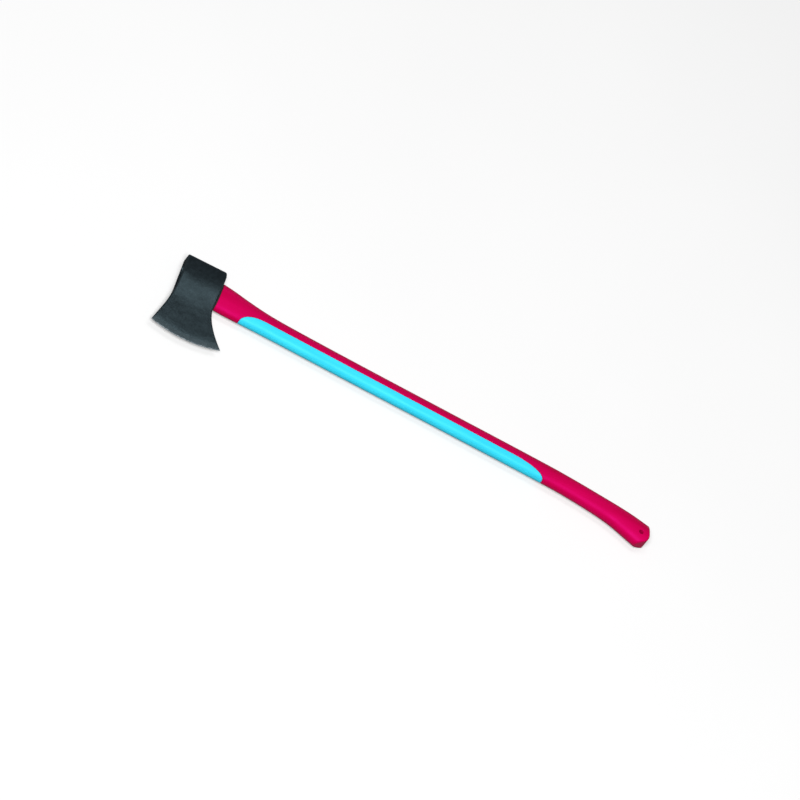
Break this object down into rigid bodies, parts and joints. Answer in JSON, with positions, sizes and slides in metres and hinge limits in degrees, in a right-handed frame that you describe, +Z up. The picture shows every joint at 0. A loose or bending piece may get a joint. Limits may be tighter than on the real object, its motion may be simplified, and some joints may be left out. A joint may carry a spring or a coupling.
{
  "type": "fire axe",
  "caption": "Long-handled axe with a black forged head, flared bit and flat poll, bonded to a two-colour moulded handle with a curved grip and a hanging hole.",
  "frame": {"origin": "middle of the axe's footprint, on the surface that it lies on with one cheek down", "axes": "+X runs along the handle from the head to the knob, -Y from the poll to the cutting edge, +Z up through the thickness"},
  "size_m": [0.9078, 0.1528, 0.03],
  "materials": {
    "painted_steel": "satin black paint on forged steel, bare ground steel along the cutting edge",
    "epoxy": "cured epoxy, slightly glossy",
    "black_rubber": "matt",
    "glass_fibre": "sawn end of a pultruded glass-fibre rod, matt",
    "blue_polypropylene": "moulded, semi-gloss",
    "red_elastomer": "moulded thermoplastic elastomer, satin"
  },
  "bodies": {
    "root": {"axe_head": "painted_steel", "eye_resin": "epoxy", "eye_seal": "black_rubber", "core_rod": "glass_fibre", "handle_jacket": "blue_polypropylene", "grip_overmould": "red_elastomer"}
  },
  "joints": []
}
